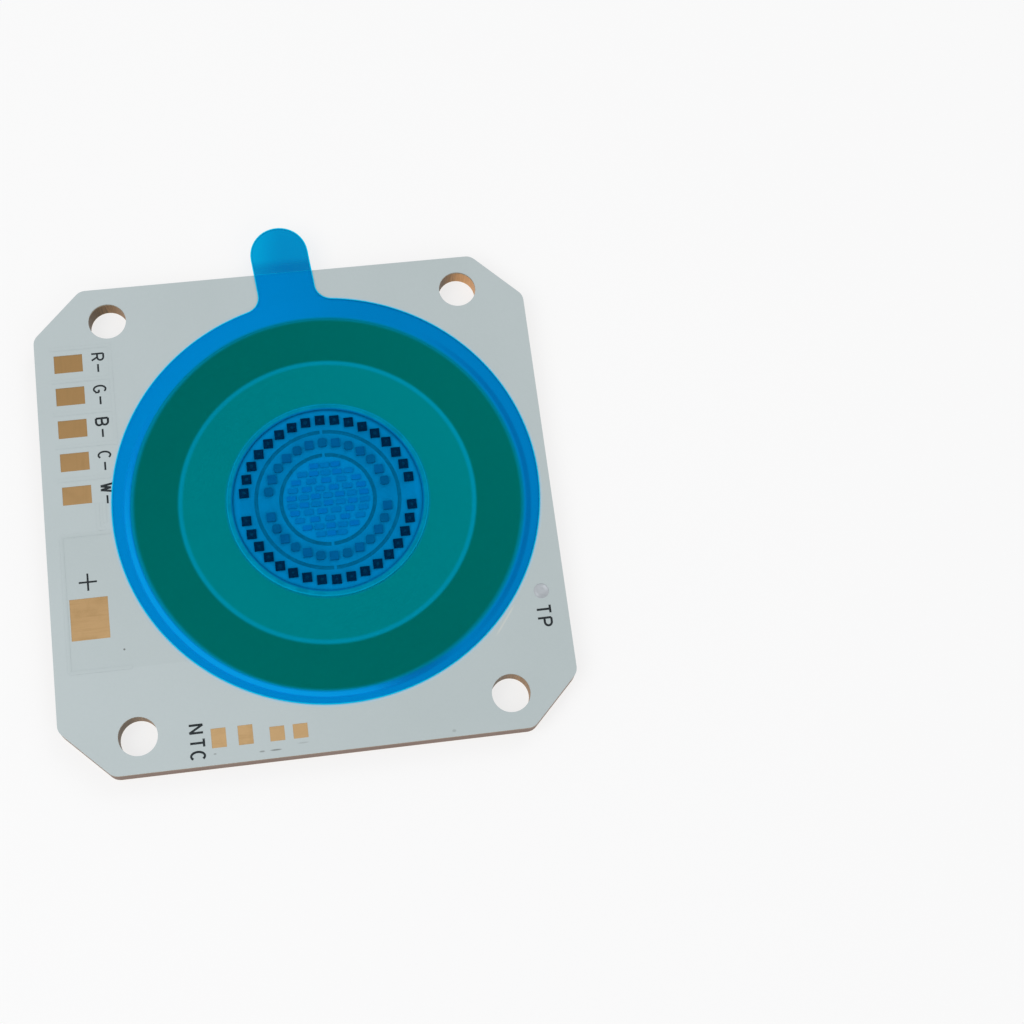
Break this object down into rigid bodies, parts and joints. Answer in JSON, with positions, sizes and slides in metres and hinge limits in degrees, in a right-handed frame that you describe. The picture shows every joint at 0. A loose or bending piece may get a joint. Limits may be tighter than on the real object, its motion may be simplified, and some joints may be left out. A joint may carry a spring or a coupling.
{
  "type": "led light module",
  "caption": "Square copper-backed LED board with cut corners, screw holes, solder pads and a round field of light chips under a blue pull-off film.",
  "frame": {"origin": "middle of the four screw holes, on the underside of the base plate", "axes": "+Z out of the light side, +Y towards the film's pull tab, +X to the right as seen from the light side, with the channel pads along the left edge"},
  "size_m": [0.053, 0.0582, 0.003],
  "materials": {
    "plated_copper": "brushed copper plate with a thin gold plating",
    "insulation": "filled resin sheet, seen only as a thin edge",
    "pad_gold": "dull gold-plated copper foil",
    "ring_gold": "gold-plated copper foil",
    "tinned_pad": "dull tinned foil",
    "white_mask": "printed white mask, satin",
    "white_reflector": "printed white reflector, satin",
    "white_dam": "white silicone bead",
    "red_chip": "dark red semiconductor chip",
    "green_chip": "green-light semiconductor chip",
    "blue_chip": "blue-light semiconductor chip",
    "cool_chip": "chip with a pale yellow phosphor layer",
    "warm_chip": "chip with an orange phosphor layer",
    "silicone": "clear soft silicone",
    "blue_film": "clear blue plastic film, glossy"
  },
  "bodies": {
    "root": {"base_plate": "plated_copper", "lower_insulation": "insulation", "upper_insulation": "insulation", "red_circuit": "pad_gold", "green_circuit": "pad_gold", "blue_circuit": "pad_gold", "cool_circuit": "pad_gold", "warm_circuit": "pad_gold", "common_circuit": "pad_gold", "sensor_pads": "pad_gold", "temperature_point": "tinned_pad", "gold_ring": "ring_gold", "inner_bus": "ring_gold", "outer_bus": "ring_gold", "solder_mask": "white_mask", "reflector_layer": "white_reflector", "dam_ring": "white_dam", "red_chips": "red_chip", "green_chips": "green_chip", "blue_chips": "blue_chip", "cool_white_chips": "cool_chip", "warm_white_chips": "warm_chip", "clear_silicone": "silicone", "protective_film": "blue_film"}
  },
  "joints": []
}
